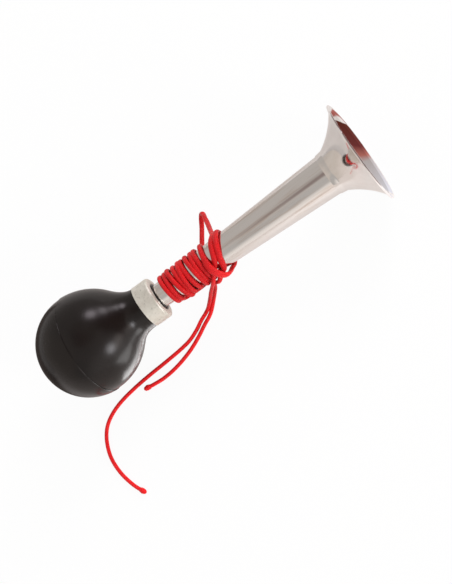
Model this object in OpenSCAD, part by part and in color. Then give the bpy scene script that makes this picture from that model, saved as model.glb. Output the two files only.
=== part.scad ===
// Hand horn with a rubber bulb, a brass reed, a conical tube and a flared bell.
// The horn lies on its side along X, bell towards +X, on the plane Z = 0.

/* [Bell] */
// Outside diameter of the bell's mouth
bell_d = 65; // [56:0.5:80]
// Length of the flare from its socket to the mouth
flare_l = 19.3; // [16:0.1:22]
// Radius of the flare's curve along the horn
flare_r = 47; // [44:1:60]
// Thickness of the bell's sheet metal
bell_wall = 0.7; // [0.5:0.05:1]
// Length of the bell's socket over the tube
socket_l = 4; // [2:0.5:8]
// Width of the flat hem round the mouth, measured along the radius
hem_w = 1.5; // [1.2:0.1:2.5]
// Thickness of the hem, measured along the horn
hem_t = 1.3; // [1:0.1:2]

/* [Tube] */
// Length of tube that shows between the flare and the collar
tube_l = 126; // [110:1:150]
// Outside diameter of the tube where the flare begins
tube_big_d = 25.8; // [23:0.1:27]
// Outside diameter of the tube at its small end
tube_small_d = 13.4; // [13:0.1:15]
// Thickness of the tube's sheet metal
tube_wall = 0.6; // [0.4:0.05:0.9]
// Length of tube hidden in the collar and the bulb's neck
tube_hidden_l = 15; // [13.5:0.5:17]

/* [Collar] */
// Outside diameter of the collar
collar_d = 26.6; // [25.8:0.1:29]
// Length of the collar along the horn
collar_l = 10.6; // [9:0.1:14]
// Thickness of the collar's front wall
collar_front_t = 2; // [1.2:0.1:3]
// Thickness of the collar round the neck
collar_wall = 1.7; // [1.2:0.1:2.2]
// Rounding of the collar's front edge
collar_round = 1.5; // [0.5:0.1:1.9]
// Width of the dark ring between the tube and the collar's hole
lip_w = 1.2; // [0.8:0.05:1.5]
// Depth of the dark ring behind the collar's front face
lip_sink = 1.2; // [0.5:0.1:1.5]
// Bevel round the collar's hole
hole_bevel = 0.6; // [0.3:0.05:0.9]

/* [Bulb] */
// Diameter of the bulb
bulb_d = 63.2; // [56:0.1:74]
// Radius of the long curve in front of the bulb's widest place
bulb_front_r = 36.5; // [34:0.5:40]
// Distance from the collar's rear edge to the bulb's widest place
bulb_reach = 40.8; // [39:0.1:46]
// Steepness of the bulb's shoulder, in degrees
shoulder_angle = 45; // [40:1:48]
// Radius of the hollow curve between shoulder and neck
neck_fillet_r = 17; // [10:1:24]
// Wall of the bulb
bulb_wall = 2.4; // [1.6:0.1:3]
// Distance of the moulding seam behind the widest place
seam_offset = 4.4; // [2:0.1:8]
// Depth and half width of the groove along the seam
seam_groove = 0.35; // [0.2:0.05:0.6]

/* [Reed] */
// Length of the reed's plug in the tube
plug_l = 9; // [6:0.5:12]
// Diameter of the half-round reed body
reed_d = 8; // [7:0.1:9]
// Length of the reed body beyond the tube's end
reed_l = 28; // [24:0.5:32]
// Diameter of the air passage through the reed
reed_bore_d = 4.6; // [3.6:0.1:5]
// Thickness of the tongue
tongue_t = 0.3; // [0.2:0.05:0.4]
// Width of the tongue
tongue_w = 5.4; // [5:0.1:6]
// Angle at which the tongue stands off the reed body, in degrees
tongue_angle = 2.2; // [1.8:0.1:3]
// Length of the clamp over the tongue's root
clamp_l = 5; // [4:0.5:6]
// Wall of the ring that clamps the tongue
clamp_wall = 1.1; // [0.8:0.1:1.5]

/* [Cord] */
// Diameter of the cord
cord_d = 2.4; // [1.8:0.1:2.4]
// Turns of cord in the plain part of the winding
wind_turns = 8.75; // [6.75:1:8.75]
// Distance between neighbouring turns of a group
wind_pitch = 2.85; // [2.85:0.05:3]
// Extra space between groups of turns
group_gap = 1.2; // [0.5:0.1:1.2]
// Diameter of the knot that ends each tail
bead_d = 3.4; // [3:0.1:4.4]
// Length of the knot that ends each tail
bead_l = 4.6; // [4:0.1:6]

/* [Hidden] */
$fn = 96;

// Clearances: pushed together, loose, and round the swinging tongue
push_gap = 0.05;
loose_gap = 0.3;
tongue_gap = 0.12;
// Extra length that lets a cutting solid pass right through
over = 1;

// Places along the horn, from the bulb's rear pole to the bell's mouth
horn_l = flare_l + tube_l + collar_l + bulb_reach + bulb_d / 2;
axis_z = max(bell_d, bulb_d) / 2;
mouth_x = horn_l / 2;
flare_x = mouth_x - flare_l;
collar_x = flare_x - tube_l;
neck_x = collar_x - collar_l;
bulb_x = neck_x - bulb_reach;
seam_x = bulb_x - seam_offset;
tube_end_x = collar_x - tube_hidden_l;
pole_x = bulb_x - bulb_d / 2;

// The tube's taper
taper = (tube_big_d - tube_small_d) / 2 / (flare_x - tube_end_x);
function tube_r(x) = tube_small_d / 2 + taper * (x - tube_end_x);
function bore_r(x) = tube_r(x) - tube_wall;

// Turns a profile of (radius, place along the horn) round the horn's axis
module turned() {
    translate([0, 0, axis_z])
        rotate([0, 90, 0])
            rotate_extrude()
                children();
}

// Bell: a flare with a hollow curve, a socket over the tube and a flat hem
flare_start_r = tube_r(flare_x) + push_gap + bell_wall;
flare_chord = [bell_d / 2 - flare_start_r, flare_l];
flare_lean = atan2(flare_chord[0], flare_chord[1]);
flare_half = asin(norm(flare_chord) / 2 / flare_r);
flare_centre = [
    flare_start_r + flare_r * cos(flare_lean - flare_half),
    flare_x - flare_r * sin(flare_lean - flare_half)
];

module bell_profile() {
    intersection() {
        translate(flare_centre)
            difference() {
                circle(r = flare_r + bell_wall);
                circle(r = flare_r);
            }
        translate([0, flare_x])
            square([bell_d / 2, flare_l]);
    }
    // Hem: the edge folded back on itself, with a round outer corner
    translate([bell_d / 2 - hem_w, mouth_x - hem_t]) {
        square([hem_w - hem_t / 2, hem_t]);
        translate([hem_w - hem_t / 2, hem_t / 2])
            circle(d = hem_t);
    }
    // Socket: a sleeve that follows the tube's taper
    polygon([
        [tube_r(flare_x - socket_l) + push_gap, flare_x - socket_l],
        [tube_r(flare_x - socket_l) + push_gap + bell_wall / 2, flare_x - socket_l],
        [flare_start_r, flare_x - bell_wall],
        [flare_start_r, flare_x + bell_wall],
        [tube_r(flare_x) + push_gap, flare_x + bell_wall]
    ]);
}

module bell() {
    color([0.72, 0.71, 0.69])
        turned()
            bell_profile();
}

// Tube: an open cone of sheet metal that ends at the flare
module horn_tube() {
    color([0.7, 0.69, 0.67])
        turned()
            polygon([
                [bore_r(tube_end_x), tube_end_x],
                [tube_r(tube_end_x), tube_end_x],
                [tube_r(flare_x), flare_x],
                [bore_r(flare_x), flare_x]
            ]);
}

// Collar: a cup with a hole for the tube in its front wall
hole_r = tube_r(collar_x) + lip_w;
neck_r = collar_d / 2 - collar_wall;
lip_x = collar_x - lip_sink;

module collar() {
    color([0.8, 0.8, 0.76])
        turned()
            difference() {
                union() {
                    translate([hole_r, neck_x])
                        square([collar_d / 2 - hole_r, collar_l - collar_round]);
                    translate([hole_r, collar_x - collar_round - over])
                        square([collar_d / 2 - collar_round - hole_r, collar_round + over]);
                    translate([collar_d / 2 - collar_round, collar_x - collar_round])
                        circle(r = collar_round);
                }
                translate([0, neck_x - over])
                    square([neck_r, collar_l - collar_front_t + over]);
                polygon([
                    [hole_r - over, collar_x - hole_bevel - over],
                    [hole_r + hole_bevel + over, collar_x + over],
                    [hole_r - over, collar_x + over]
                ]);
            }
}

// Bulb: a sphere behind its widest place, a longer curve in front of it,
// a straight shoulder and a hollow curve down to the neck
front_centre = [bulb_d / 2 - bulb_front_r, bulb_x];
shoulder = front_centre + bulb_front_r * [cos(shoulder_angle), sin(shoulder_angle)];
shoulder_run = [-sin(shoulder_angle), cos(shoulder_angle)];
// The neck leaves the collar just below the collar's own radius
neck_start_r = collar_d / 2 - loose_gap;
fillet_centre_r = neck_start_r + neck_fillet_r;
// Where the hollow curve meets the shoulder, from the tangent there
fillet_shift = (fillet_centre_r - neck_fillet_r * cos(shoulder_angle) - shoulder[0]) / shoulder_run[0];
fillet_meet = shoulder + fillet_shift * shoulder_run;
fillet_centre = fillet_meet + neck_fillet_r * [cos(shoulder_angle), sin(shoulder_angle)];
// The shoulder inside the bulb runs straight down to the neck's bore
inner_shoulder = front_centre + (bulb_front_r - bulb_wall) * [cos(shoulder_angle), sin(shoulder_angle)];
neck_bore_r = tube_r(tube_end_x) + push_gap;
inner_meet = inner_shoulder + (neck_bore_r - inner_shoulder[0]) / shoulder_run[0] * shoulder_run;

// The front half's outer form, from the widest place to the collar's rear edge
module front_form() {
    intersection() {
        translate(front_centre)
            circle(r = bulb_front_r);
        translate([0, bulb_x])
            square([bulb_d, shoulder[1] - bulb_x]);
    }
    difference() {
        polygon([
            [0, shoulder[1]], shoulder, fillet_meet, fillet_centre,
            [fillet_centre[0], neck_x - push_gap], [0, neck_x - push_gap]
        ]);
        translate(fillet_centre)
            circle(r = neck_fillet_r);
    }
}

// The neck inside the collar, and the ring that fills the collar's hole round the tube
module neck_form() {
    translate([0, neck_x - push_gap])
        square([neck_r - push_gap, collar_x - collar_front_t - neck_x]);
    translate([0, neck_x - push_gap])
        square([hole_r - push_gap, lip_x - neck_x + push_gap]);
}

// The hollow in front of the widest place
module hollow_form() {
    intersection() {
        translate(front_centre)
            circle(r = bulb_front_r - bulb_wall);
        translate([0, bulb_x - over])
            square([bulb_d, inner_shoulder[1] - bulb_x + over]);
    }
    polygon([[0, inner_shoulder[1]], inner_shoulder, inner_meet, [0, inner_meet[1]]]);
}

// The bore that the tube is pushed into, which follows the tube's taper
module bore_form() {
    polygon([
        [0, inner_meet[1] - over],
        [neck_bore_r, inner_meet[1] - over],
        [neck_bore_r, tube_end_x],
        [tube_r(lip_x + over) + push_gap, lip_x + over],
        [0, lip_x + over]
    ]);
}

// The two sides of the groove that marks the seam
module seam_cut() {
    rear_r = sqrt(pow(bulb_d / 2, 2) - pow(seam_offset, 2));
    polygon([
        [rear_r - seam_groove, seam_x],
        [rear_r + over, seam_x - seam_groove * 2],
        [rear_r + over, seam_x + seam_groove * 2]
    ]);
}

// The half shell behind the widest place
module rear_shell() {
    difference() {
        translate([0, bulb_x])
            circle(d = bulb_d);
        translate([0, bulb_x])
            circle(d = bulb_d - 2 * bulb_wall);
        translate([-bulb_d, bulb_x])
            square([2 * bulb_d, bulb_d]);
        translate([-bulb_d, bulb_x - bulb_d])
            square([bulb_d, 2 * bulb_d]);
        seam_cut();
    }
}

module bulb_front() {
    color([0.13, 0.12, 0.12])
        turned() {
            difference() {
                union() {
                    front_form();
                    neck_form();
                }
                hollow_form();
                bore_form();
            }
            intersection() {
                rear_shell();
                translate([0, seam_x])
                    square([bulb_d, seam_offset]);
            }
        }
}

module bulb_rear() {
    color([0.13, 0.12, 0.12])
        turned()
            intersection() {
                rear_shell();
                translate([0, pole_x - over])
                    square([bulb_d, seam_x - pole_x + over]);
            }
}

// Reed: a plug in the tube's small end that carries a half-round trough
flange_l = 1.5;
flange_x = tube_end_x - push_gap;
trough_x = flange_x - flange_l;
reed_end_x = trough_x - reed_l;
trough_end_t = 2.5;
clamp_x = trough_x - loose_gap;
reed_r = reed_d / 2;

module along(x) {
    translate([x, 0, axis_z])
        rotate([0, 90, 0])
            children();
}

module below_tongue(from, to) {
    translate([from - over, -reed_d, axis_z - 2 * reed_d])
        cube([to - from + 2 * over, 2 * reed_d, 2 * reed_d]);
}

module reed_body() {
    color([0.76, 0.6, 0.3])
        difference() {
            union() {
                turned()
                    polygon([
                        [0, trough_x],
                        [tube_r(tube_end_x) - push_gap, trough_x],
                        [tube_r(tube_end_x) - push_gap, flange_x],
                        [bore_r(tube_end_x) - push_gap, flange_x],
                        [bore_r(tube_end_x + plug_l) - push_gap, tube_end_x + plug_l],
                        [0, tube_end_x + plug_l]
                    ]);
                intersection() {
                    along(reed_end_x)
                        cylinder(r = reed_r, h = reed_l + flange_l / 2);
                    below_tongue(reed_end_x, trough_x);
                }
            }
            along(reed_end_x + trough_end_t)
                cylinder(d = reed_bore_d, h = reed_l + flange_l + plug_l + over);
        }
}

// Tongue: a strip held flat under the clamp and bent up beyond it
tongue_z = axis_z + tongue_gap;
blade_x = clamp_x - clamp_l;
blade_l = blade_x - reed_end_x;
tip_rise = blade_l * tan(tongue_angle);

module reed_tongue() {
    color([0.8, 0.66, 0.36])
        translate([0, tongue_w / 2, 0])
            rotate([90, 0, 0])
                linear_extrude(tongue_w)
                    polygon([
                        [clamp_x, tongue_z],
                        [clamp_x, tongue_z + tongue_t],
                        [blade_x, tongue_z + tongue_t],
                        [reed_end_x, tongue_z + tongue_t + tip_rise],
                        [reed_end_x, tongue_z + tip_rise],
                        [blade_x, tongue_z]
                    ]);
}

// Wedge: the part of the reed body's round that lies above the tongue's root
module reed_wedge() {
    color([0.72, 0.56, 0.28])
        difference() {
            along(blade_x)
                cylinder(r = reed_r, h = clamp_l);
            below_tongue(blade_x, clamp_x);
            translate([blade_x - over, -reed_d, axis_z - over])
                cube([clamp_l + 2 * over, 2 * reed_d, over + 2 * tongue_gap + tongue_t]);
        }
}

module reed_ring() {
    color([0.78, 0.63, 0.33])
        along(blade_x)
            difference() {
                cylinder(r = reed_r + push_gap + clamp_wall, h = clamp_l);
                translate([0, 0, -over])
                    cylinder(r = reed_r + push_gap, h = clamp_l + 2 * over);
            }
}

// Cord: one length of red cord, wound on the tube and hitched, with a loop and two tails
cord_r = cord_d / 2;
// Space under the cord on the tube, and between two strands that cross
cord_rest = 0.15;
cross_gap = 0.5;
// Height of the cord's centre over the tube, alone and where it crosses another strand
lay_1 = cord_r + cord_rest;
lay_2 = lay_1 + cord_d + cross_gap;
lay_mid = (lay_1 + lay_2) / 2;
// Where the cord passes from one height to the other
lay_low = lay_1 + 2 * loose_gap;
lay_high = lay_mid + 2 * loose_gap;
// The middle of the hitch, and its distance from the collar
hitch_from_collar = 36;
hitch_x = collar_x + hitch_from_collar;
// Sides of the cord's solid in the winding and elsewhere
winding_sides = 6;
cord_sides = 8;

// A point on the winding, from its angle round the tube, its place and its height over the tube.
// Angle 0 is behind the horn, 90 on top, 180 in front and 270 below.
function on_tube(p) = [
    p[1],
    (tube_r(p[1]) + p[2]) * cos(p[0]),
    axis_z + (tube_r(p[1]) + p[2]) * sin(p[0])
];

// A smooth curve through rows whose first value is the place along the curve
function slope(k, i, c) =
    let (a = max(i - 1, 0), b = min(i + 1, len(k) - 1))
    (k[b][c] - k[a][c]) / (k[b][0] - k[a][0]);
function span_of(k, t, i = 0) =
    i >= len(k) - 2 || (t - k[i + 1][0]) * (k[1][0] - k[0][0]) <= 0 ? i : span_of(k, t, i + 1);
function smooth(k, t, c) =
    let (i = span_of(k, t), h = k[i + 1][0] - k[i][0], u = (t - k[i][0]) / h)
    (2 * u ^ 3 - 3 * u ^ 2 + 1) * k[i][c] + (u ^ 3 - 2 * u ^ 2 + u) * h * slope(k, i, c)
    + (3 * u ^ 2 - 2 * u ^ 3) * k[i + 1][c] + (u ^ 3 - u ^ 2) * h * slope(k, i + 1, c);

// The hitch: angle, place from hitch_x, and height over the tube.
// It rises from the short tail, passes behind, crosses over itself and starts the plain turns.
hitch = [
    [216, -4, lay_2], [204, -2.1, lay_2], [194, 0, lay_mid], [184, 2, lay_1], [172, 4.6, lay_1],
    [158, 6, lay_1], [127, 7.6, lay_1], [94, 10.3, lay_1], [38, 13.4, lay_1], [-30, 13.5, lay_1],
    [-100, 12.2, lay_1], [-138, 11.2, lay_1], [-152, 9.6, lay_mid], [-164, 7.6, lay_2],
    [-176, 5.3, lay_2], [-192, 3, lay_2], [-210, 1.2, lay_2], [-228, 0.1, lay_2],
    [-246, -0.4, lay_mid], [-264, -0.2, lay_1], [-300, 0.6, lay_1], [-336, 0.6, lay_1],
    [-430, -1.6, lay_1], [-518, -3.5, lay_1]
];
// Angle between two rings of the winding's solid
ring_step = 15;
hitch_end = hitch[len(hitch) - 1];
wind_end = hitch_end[0] - 360 * wind_turns;

// Turns after which the next group starts
group_ends = [3, 7];

// Distance wound along the tube after some turns: even turns in groups,
// and a step to the next group on the hidden half of a group's last turn
function eased(u) = u * u * (3 - 2 * u);
function stepped(turns, n = 0) =
    n == len(group_ends)
        ? 0
        : eased(min(1, max(0, 2 * (turns - group_ends[n]) + 1))) + stepped(turns, n + 1);
function wound(turns) = wind_pitch * turns + group_gap * stepped(turns);

// The winding: the hitch, then the plain turns towards the collar
winding_line = [
    for (a = [hitch[0][0] : -ring_step : wind_end])
        a > hitch_end[0]
            ? on_tube([a, hitch_x + smooth(hitch, a, 1), smooth(hitch, a, 2)])
            : on_tube([a, hitch_x + hitch_end[1] - wound((hitch_end[0] - a) / 360), lay_1])
];

// A curve through points in space, with the given steps between neighbours
function through(p, steps) = [
    for (i = [0 : len(p) - 2], s = [0 : steps - (i < len(p) - 2 ? 1 : 0)])
        let (
            u = s / steps, n = len(p) - 1,
            a = i > 0 ? p[i - 1] : 2 * p[0] - p[1],
            d = i < n - 1 ? p[i + 2] : 2 * p[n] - p[n - 1]
        )
        p[i] * (1 - u) ^ 2 * (1 + 2 * u) + p[i + 1] * u ^ 2 * (3 - 2 * u)
        + (p[i + 1] - a) / 2 * u * (1 - u) ^ 2 - (d - p[i]) / 2 * u ^ 2 * (1 - u)
];

function unit(v) = v / norm(v);

// A curve that leaves its first point straight, for one diameter of the cord
function led(start, go, p, steps) =
    let (line = through(concat([start, start + cord_d * go], p), steps))
    concat([start], [for (i = [steps : len(line) - 1]) line[i]]);

function heading(p, i) = unit(p[min(i + 1, len(p) - 1)] - p[max(i - 1, 0)]);

// Side vectors carried along a line without twist
first_side = [0.3, 0.5, 0.8];
function carried(v, t) = unit(v - (v * t) * t);
function sides(p) = [
    for (
        i = 0, v = carried(first_side, heading(p, 0));
        i < len(p);
        i = i + 1, v = i < len(p) ? carried(v, heading(p, i)) : v
    ) v
];

// A closed tube of triangles along a line of points
module cord(p, count) {
    v = sides(p);
    n = len(p);
    points = [
        for (i = [0 : n - 1], k = [0 : count - 1])
            let (t = heading(p, i), w = cross(t, v[i]))
            p[i] + cord_r * (cos(360 * k / count) * v[i] + sin(360 * k / count) * w)
    ];
    walls = [
        for (i = [0 : n - 2], k = [0 : count - 1])
            let (a = i * count + k, b = i * count + (k + 1) % count)
            each [[a, a + count, b], [b, a + count, b + count]]
    ];
    ends = [
        for (k = [1 : count - 2])
            each [
                [0, k, k + 1],
                [(n - 1) * count, (n - 1) * count + k + 1, (n - 1) * count + k]
            ]
    ];
    color([0.86, 0.1, 0.12])
        polyhedron(points, concat(walls, ends));
}

// Least gap between turns of one line, leaving out the rings next to each other
near_rings = 12;
function least_gap(p) = min([
    for (i = [0 : len(p) - 1 - near_rings])
        min([for (j = [i + near_rings : len(p) - 1]) norm(p[i] - p[j])])
]) - cord_d;

module cord_winding() {
    echo(least_gap_of_winding = least_gap(winding_line));
    cord(winding_line, winding_sides);
}

// Points off the tube are measured from the hitch
function from_hitch(p) = [for (q = p) [hitch_x + q[0], q[1], q[2]]];

// A cord that comes down to the ground lies on it
tail_z = cord_r + push_gap;
function grounded(p) = [for (q = p) [q[0], q[1], max(q[2], tail_z)]];

// Steps between neighbouring points of the loop and of the tails
line_steps = 2;

// The run back under the tube, the loop behind it and the strand over the front to the long tail
loop_start = winding_line[len(winding_line) - 1];
loop_go = unit(loop_start - winding_line[len(winding_line) - 2]);
// Place where the run back leaves the tube, from the hitch, and the length of the run
leave_x = hitch_x - 6.5;
run_l = leave_x - loop_start[0];
back_run = [
    for (p = [
        [-85, -0.01, lay_low], [-97, 0, lay_mid], [-108, 0.03, lay_high], [-116, 0.1, lay_2 - loose_gap],
        [-120, 0.22, lay_2], [-120, 0.4, lay_2], [-120, 0.58, lay_2], [-119, 0.72, lay_2],
        [-115, 0.84, lay_2], [-106, 0.93, lay_2]
    ])
        on_tube([p[0], loop_start[0] + p[1] * run_l, p[2]])
];
loop_points = [
    [-7.4, -0.6, 19.2], [-6.9, 4.2, 17.3], [-6.3, 9, 14.6], [-5.6, 13.6, 11.6], [-4.7, 17.8, 9],
    [-3.5, 21.8, 7],
    [-1.9, 26.2, 5], [-0.2, 30.6, 3], [1.2, 34.4, tail_z], [3.2, 37.6, 2.2], [5.6, 39, 5.4],
    [7.2, 37.4, 9], [7.7, 34.4, 11.6], [8, 29.6, 14.8], [8.4, 23.8, 19.6], [9, 18, 25.4],
    [9.8, 13.4, 31]
];
strand = [
    for (p = [
        [18, 10.6, lay_low], [38, 10.2, lay_1], [60, 9.1, lay_1], [84, 7.7, lay_1],
        [112, 5.5, lay_1], [128, 3.9, lay_1], [140, 2.3, lay_1], [150, 0.6, lay_1 + loose_gap],
        [160, -1.3, lay_high], [170, -3, lay_2], [183, -4.8, lay_2], [198, -6.2, lay_2]
    ])
        on_tube([p[0], hitch_x + p[1], p[2]])
];

loop_line = grounded(led(
    loop_start, loop_go, concat(back_run, from_hitch(loop_points), strand), line_steps
));

module cord_loop() {
    echo(least_gap_of_loop = least_gap(loop_line));
    cord(loop_line, cord_sides);
}

// The tails hang from the hitch to the ground, lie there and rise a little into their knots
bead_z = bead_d / 2;
long_start = loop_line[len(loop_line) - 1];
long_go = unit(long_start - loop_line[len(loop_line) - 2]);
long_points = [
    [-9, -11.6, 23], [-11.4, -11.5, 19], [-14, -11.7, 14.5], [-17.2, -12.1, 9.5],
    [-20.8, -12.9, 5], [-24.5, -13.6, 2.2], [-29, -15.2, tail_z], [-34, -18.2, tail_z],
    [-41, -21.2, tail_z], [-48, -22.5, tail_z], [-56, -23.3, tail_z], [-64, -23.9, tail_z],
    [-72, -24.4, tail_z], [-80, -25.1, tail_z], [-87, -26, tail_z], [-94, -27.2, tail_z],
    [-100.5, -29, tail_z], [-106, -31.4, tail_z], [-110.7, -34.6, tail_z],
    [-114.2, -38.6, tail_z], [-117, -44, tail_z], [-119, -51, tail_z], [-119.4, -58, tail_z],
    [-118.4, -66, tail_z], [-116.2, -73.4, tail_z], [-114.2, -78, bead_z],
    [-113, -80.2, bead_z]
];
long_line = grounded(led(long_start, long_go, from_hitch(long_points), line_steps));

module cord_tail_long() {
    cord(long_line, cord_sides);
}

short_start = winding_line[0];
short_go = unit(short_start - winding_line[1]);
short_points = [
    [-7.6, -9.8, 18], [-10.6, -10.4, 13], [-13.6, -11.4, 9.2], [-17, -12.9, 5.6],
    [-20.6, -14.8, 2.8], [-24.4, -16.6, tail_z], [-28.4, -18.6, tail_z],
    [-35.6, -22.8, tail_z], [-42, -25.9, tail_z], [-48, -28.1, tail_z], [-54.6, -29.9, tail_z],
    [-61, -31, tail_z], [-67.6, -31.4, tail_z], [-73.6, -31.1, bead_z], [-76, -30.8, bead_z]
];
short_line = grounded(led(short_start, short_go, from_hitch(short_points), line_steps));

module cord_tail_short() {
    cord(short_line, cord_sides);
}

// Knots: a small round knob of cord that starts where a tail ends
bead_steps = 12;

module bead(line) {
    end = line[len(line) - 1];
    go = heading(line, len(line) - 1);
    from = asin(cord_d / bead_d);
    translate(end)
        rotate([0, 0, atan2(go[1], go[0])])
            rotate([0, 90, 0])
                rotate_extrude()
                    polygon(concat([[0, 0]], [
                        for (i = [0 : bead_steps])
                            let (a = from + (180 - from) * i / bead_steps)
                            [bead_z * sin(a), bead_l * (cos(from) - cos(a)) / (1 + cos(from))]
                    ]));
}

module cord_bead_long() {
    color([0.82, 0.09, 0.11])
        bead(long_line);
}

module cord_bead_short() {
    color([0.82, 0.09, 0.11])
        bead(short_line);
}

bulb_front();
bulb_rear();
collar();
horn_tube();
bell();
reed_body();
reed_tongue();
reed_wedge();
reed_ring();
cord_winding();
cord_loop();
cord_tail_short();
cord_tail_long();
cord_bead_short();
cord_bead_long();
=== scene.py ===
import math

import bpy
from mathutils import Matrix, Vector


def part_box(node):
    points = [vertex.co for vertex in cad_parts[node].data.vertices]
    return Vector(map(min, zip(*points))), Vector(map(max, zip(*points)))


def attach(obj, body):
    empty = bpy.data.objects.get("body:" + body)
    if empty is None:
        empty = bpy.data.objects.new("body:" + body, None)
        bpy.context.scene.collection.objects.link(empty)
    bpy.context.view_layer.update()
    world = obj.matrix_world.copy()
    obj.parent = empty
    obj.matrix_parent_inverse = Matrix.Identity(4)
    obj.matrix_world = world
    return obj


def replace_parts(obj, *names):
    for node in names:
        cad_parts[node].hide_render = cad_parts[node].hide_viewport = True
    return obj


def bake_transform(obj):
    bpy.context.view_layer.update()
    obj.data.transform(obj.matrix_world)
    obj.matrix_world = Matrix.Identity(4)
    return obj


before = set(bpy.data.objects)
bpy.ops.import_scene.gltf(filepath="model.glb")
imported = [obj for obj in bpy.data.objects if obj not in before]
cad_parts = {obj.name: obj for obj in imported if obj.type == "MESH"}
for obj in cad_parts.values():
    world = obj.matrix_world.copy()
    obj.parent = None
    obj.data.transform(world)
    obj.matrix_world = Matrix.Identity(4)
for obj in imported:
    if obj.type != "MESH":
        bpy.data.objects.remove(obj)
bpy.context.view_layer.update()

# The part's lengths are in millimetres in its own frame, and MM turns them into metres.
# The stage's lengths are in metres, and angles are in degrees.
MM = 0.001


def span(node, axis):
    low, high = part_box(node)
    return low[axis] / MM, high[axis] / MM


def half_span(node, axis):
    low, high = span(node, axis)
    return (high - low) / 2


# Places along the horn and radii, from the frame
TUBE_END_X, FLARE_X = span("horn_tube", 0)
NECK_X, COLLAR_X = span("collar", 0)
POLE_X = span("bulb_rear", 0)[0]
MOUTH_X = span("bell", 0)[1]
MOUTH_R = half_span("bell", 1)
AXIS_Z = MOUTH_R
BULB_R = half_span("bulb_front", 1)
BULB_X = POLE_X + BULB_R
COLLAR_R = half_span("collar", 1)
TUBE_BIG_R = half_span("horn_tube", 1)
# The radius of the tube's small end, which no box gives
TUBE_SMALL_R = 6.7
TAPER = (TUBE_BIG_R - TUBE_SMALL_R) / (FLARE_X - TUBE_END_X)


def tube_r(x):
    return TUBE_SMALL_R + TAPER * (x - TUBE_END_X)


# Camera, fitted to the photograph, whose frame is 452 x 584. Its long side is the sensor's width.
PHOTO_LONG_SIDE = 584
FOCAL_PIXELS = 1927.89
SENSOR_WIDTH = 36.0
CAMERA_RIGHT = (0.7992, -0.4826, -0.3584)
CAMERA_FORWARD = (-0.1863, 0.3680, -0.9109)
CAMERA_PLACE = (MOUTH_X + 97.26, -431.47, 1045.73)
CLIP_START, CLIP_END = 0.01, 50.0


def make_camera():
    right = Vector(CAMERA_RIGHT).normalized()
    forward = Vector(CAMERA_FORWARD).normalized()
    up = right.cross(forward).normalized()
    right = forward.cross(up).normalized()
    data = bpy.data.cameras.new("camera")
    data.sensor_width = SENSOR_WIDTH
    data.lens = FOCAL_PIXELS * SENSOR_WIDTH / PHOTO_LONG_SIDE
    data.clip_start, data.clip_end = CLIP_START, CLIP_END
    cam = bpy.data.objects.new("camera", data)
    turn = Matrix((right, up, -forward)).transposed().to_4x4()
    cam.matrix_world = Matrix.Translation(Vector(CAMERA_PLACE) * MM) @ turn
    bpy.context.scene.collection.objects.link(cam)
    bpy.context.scene.camera = cam


make_camera()


# Cord routes, from the tables that the solids are made from. Here the hitch, the winding and the strand
# over the front are moved by up to 1.2 mm, to lie as the photograph shows them.
CORD_R = 1.2
CORD_D = 2 * CORD_R
CORD_REST, CROSS_GAP, LOOSE_GAP, FLOOR_GAP = 0.15, 0.5, 0.3, 0.05
LAY_1 = CORD_R + CORD_REST
LAY_2 = LAY_1 + CORD_D + CROSS_GAP
LAY_MID = (LAY_1 + LAY_2) / 2
LAY_LOW = LAY_1 + 2 * LOOSE_GAP
LAY_HIGH = LAY_MID + 2 * LOOSE_GAP
TAIL_Z = CORD_R + FLOOR_GAP
HITCH_FROM_COLLAR = 36
HITCH_X = COLLAR_X + HITCH_FROM_COLLAR
WIND_TURNS, WIND_PITCH = 8.75, 2.85
# The winding steps on by GROUP_GAP round each of these turns
GROUP_ENDS, GROUP_GAP = (3, 7), 1.2
BEAD_R, BEAD_L = 1.7, 4.6

# Angle round the tube, place along the horn from HITCH_X, height over the tube
HITCH = [
    (216, -4, LAY_2), (204, -1.9, LAY_2), (194, 0.5, LAY_MID), (184, 2.9, LAY_1), (172, 5.4, LAY_1),
    (158, 6.8, LAY_1), (127, 8.2, LAY_1), (94, 10.5, LAY_1), (38, 13.4, LAY_1), (-30, 13.5, LAY_1),
    (-100, 12.2, LAY_1), (-138, 10.6, LAY_1), (-152, 8.9, LAY_1 + 0.5), (-164, 7.2, LAY_MID + 0.3),
    (-176, 5.3, LAY_2), (-192, 3.1, LAY_2), (-210, 1.5, LAY_2), (-228, 0.6, LAY_2),
    (-246, 0.3, LAY_MID), (-264, 0.4, LAY_1), (-300, 0.9, LAY_1), (-336, 0.8, LAY_1),
    (-430, -1, LAY_1), (-518, -2.6, LAY_1),
]
# Angle round the tube, share of the way back along the winding, height over the tube
BACK_RUN = [
    (-85, -0.01, LAY_LOW), (-97, 0, LAY_MID), (-108, 0.03, LAY_HIGH), (-116, 0.1, LAY_2 - LOOSE_GAP),
    (-120, 0.22, LAY_2), (-120, 0.4, LAY_2), (-120, 0.58, LAY_2), (-119, 0.72, LAY_2),
    (-115, 0.84, LAY_2), (-106, 0.93, LAY_2),
]
# Place along the horn from HITCH_X, place across, and height if the cord isn't on the floor
LOOP = [
    (-7.4, -0.6, 19.2), (-6.9, 4.2, 17.3), (-6.3, 9, 14.6), (-5.6, 13.6, 11.6), (-4.7, 17.8, 9),
    (-3.5, 21.8, 7), (-1.9, 26.2, 5), (-0.2, 30.6, 3), (1.2, 34.4), (3.2, 37.6, 2.2),
    (5.6, 39, 5.4), (7.2, 37.4, 9), (7.7, 34.4, 11.6), (8, 29.6, 14.8), (8.4, 23.8, 19.6),
    (9, 18, 25.4), (9.8, 13.4, 31),
]
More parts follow.
